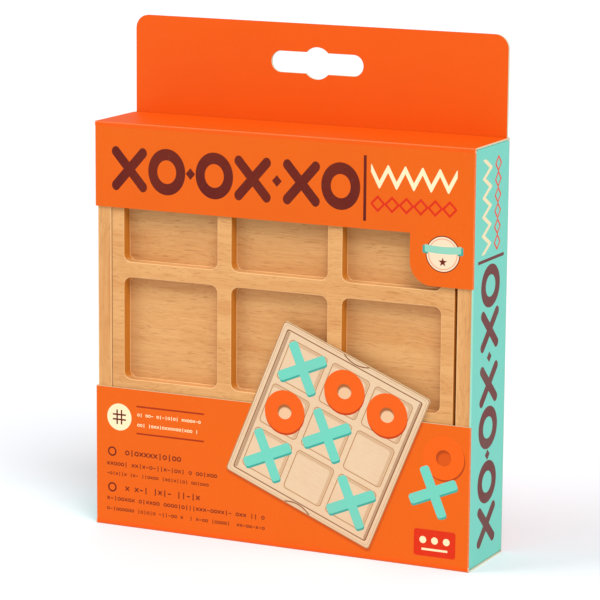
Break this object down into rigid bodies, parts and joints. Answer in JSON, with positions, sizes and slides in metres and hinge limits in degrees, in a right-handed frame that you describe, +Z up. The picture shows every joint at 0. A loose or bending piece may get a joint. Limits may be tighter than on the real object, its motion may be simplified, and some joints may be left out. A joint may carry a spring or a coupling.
{
  "type": "tic tac toe set",
  "caption": "Wooden tic tac toe game box with a pocketed board, crosses and rings, in a folding carton with a window and a hanging tab.",
  "frame": {"origin": "middle of the carton's footprint, on the surface that the carton stands on", "axes": "+X to the right along the front, +Y from the window to the back, +Z up towards the hanging tab"},
  "size_m": [0.133, 0.028, 0.1662],
  "materials": {
    "printed_orange_board": "matte print on paperboard, cream at the cut edges",
    "printed_mint_board": "matte print on paperboard, cream at the cut edges",
    "plain_board": "unprinted paperboard",
    "beech_rails": "sanded beech",
    "beech_back": "sanded beech plywood",
    "beech_board": "sanded beech",
    "mint_paint": "matte painted beech",
    "orange_paint": "matte painted beech"
  },
  "bodies": {
    "carton": {"front_panel_upper": "printed_orange_board", "front_panel_lower": "printed_orange_board", "left_side_panel": "printed_mint_board", "right_side_panel": "printed_mint_board", "back_panel": "printed_orange_board", "seam_flap": "plain_board", "hang_tab_back_ply": "printed_orange_board", "hang_tab_front_ply": "printed_orange_board"},
    "game_box": {"box_back_plate": "beech_back", "box_rail_left": "beech_rails", "box_rail_right": "beech_rails", "box_rail_top": "beech_rails", "box_rail_bottom": "beech_rails", "game_board": "beech_board", "cross_1": "mint_paint", "cross_2": "mint_paint", "cross_3": "mint_paint", "cross_4": "mint_paint", "cross_5": "mint_paint", "ring_1": "orange_paint", "ring_2": "orange_paint", "ring_3": "orange_paint", "ring_4": "orange_paint"},
    "top_closure": {"top_flap": "printed_orange_board"},
    "top_tongue": {"top_tuck_tongue": "printed_orange_board"},
    "top_dust_left": {"top_dust_flap_left": "printed_mint_board"},
    "top_dust_right": {"top_dust_flap_right": "printed_mint_board"},
    "bottom_closure": {"bottom_flap": "printed_orange_board"},
    "bottom_tongue": {"bottom_tuck_tongue": "printed_orange_board"},
    "bottom_dust_left": {"bottom_dust_flap_left": "printed_mint_board"},
    "bottom_dust_right": {"bottom_dust_flap_right": "printed_mint_board"}
  },
  "joints": [
    {"name": "game_box_slide", "type": "slide", "parent": "carton", "child": "game_box", "axis": [0, 0, 1], "range_m": [0, 0.12]},
    {"name": "top_flap_hinge", "type": "hinge", "parent": "carton", "child": "top_closure", "pos_m": [0, -0.014, 0.134], "axis": [1, 0, 0], "range_deg": [0, 200], "deforming": ["top_flap"]},
    {"name": "top_tongue_crease", "type": "hinge", "parent": "top_closure", "child": "top_tongue", "pos_m": [0, 0.01295, 0.134], "axis": [1, 0, 0], "range_deg": [0, 50], "deforming": ["top_tuck_tongue"]},
    {"name": "top_dust_flap_left_hinge", "type": "hinge", "parent": "carton", "child": "top_dust_left", "pos_m": [-0.0665, 0, 0.13345], "axis": [0, -1, 0], "range_deg": [0, 115], "deforming": ["top_dust_flap_left"]},
    {"name": "top_dust_flap_right_hinge", "type": "hinge", "parent": "carton", "child": "top_dust_right", "pos_m": [0.0665, 0, 0.13345], "axis": [0, 1, 0], "range_deg": [0, 115], "deforming": ["top_dust_flap_right"]},
    {"name": "bottom_flap_hinge", "type": "hinge", "parent": "carton", "child": "bottom_closure", "pos_m": [0, -0.014, 0], "axis": [-1, 0, 0], "range_deg": [0, 180]},
    {"name": "bottom_tongue_crease", "type": "hinge", "parent": "bottom_closure", "child": "bottom_tongue", "pos_m": [0, 0.01345, 0], "axis": [-1, 0, 0], "range_deg": [0, 60], "deforming": ["bottom_tuck_tongue"]},
    {"name": "bottom_dust_flap_left_hinge", "type": "hinge", "parent": "carton", "child": "bottom_dust_left", "pos_m": [-0.0665, 0, 0.00055], "axis": [0, 1, 0], "range_deg": [0, 90]},
    {"name": "bottom_dust_flap_right_hinge", "type": "hinge", "parent": "carton", "child": "bottom_dust_right", "pos_m": [0.0665, 0, 0.00055], "axis": [0, -1, 0], "range_deg": [0, 90]}
  ],
  "couplings": [
    {"joint": "top_flap_hinge", "follows": "game_box_slide", "rad_per_m": 29.089},
    {"joint": "top_tongue_crease", "follows": "game_box_slide", "rad_per_m": 7.2722},
    {"joint": "top_dust_flap_left_hinge", "follows": "game_box_slide", "rad_per_m": 16.726},
    {"joint": "top_dust_flap_right_hinge", "follows": "game_box_slide", "rad_per_m": 16.726},
    {"joint": "bottom_tongue_crease", "follows": "bottom_flap_hinge", "ratio": 0.33333},
    {"joint": "bottom_dust_flap_left_hinge", "follows": "bottom_flap_hinge", "ratio": 0.5},
    {"joint": "bottom_dust_flap_right_hinge", "follows": "bottom_flap_hinge", "ratio": 0.5}
  ]
}
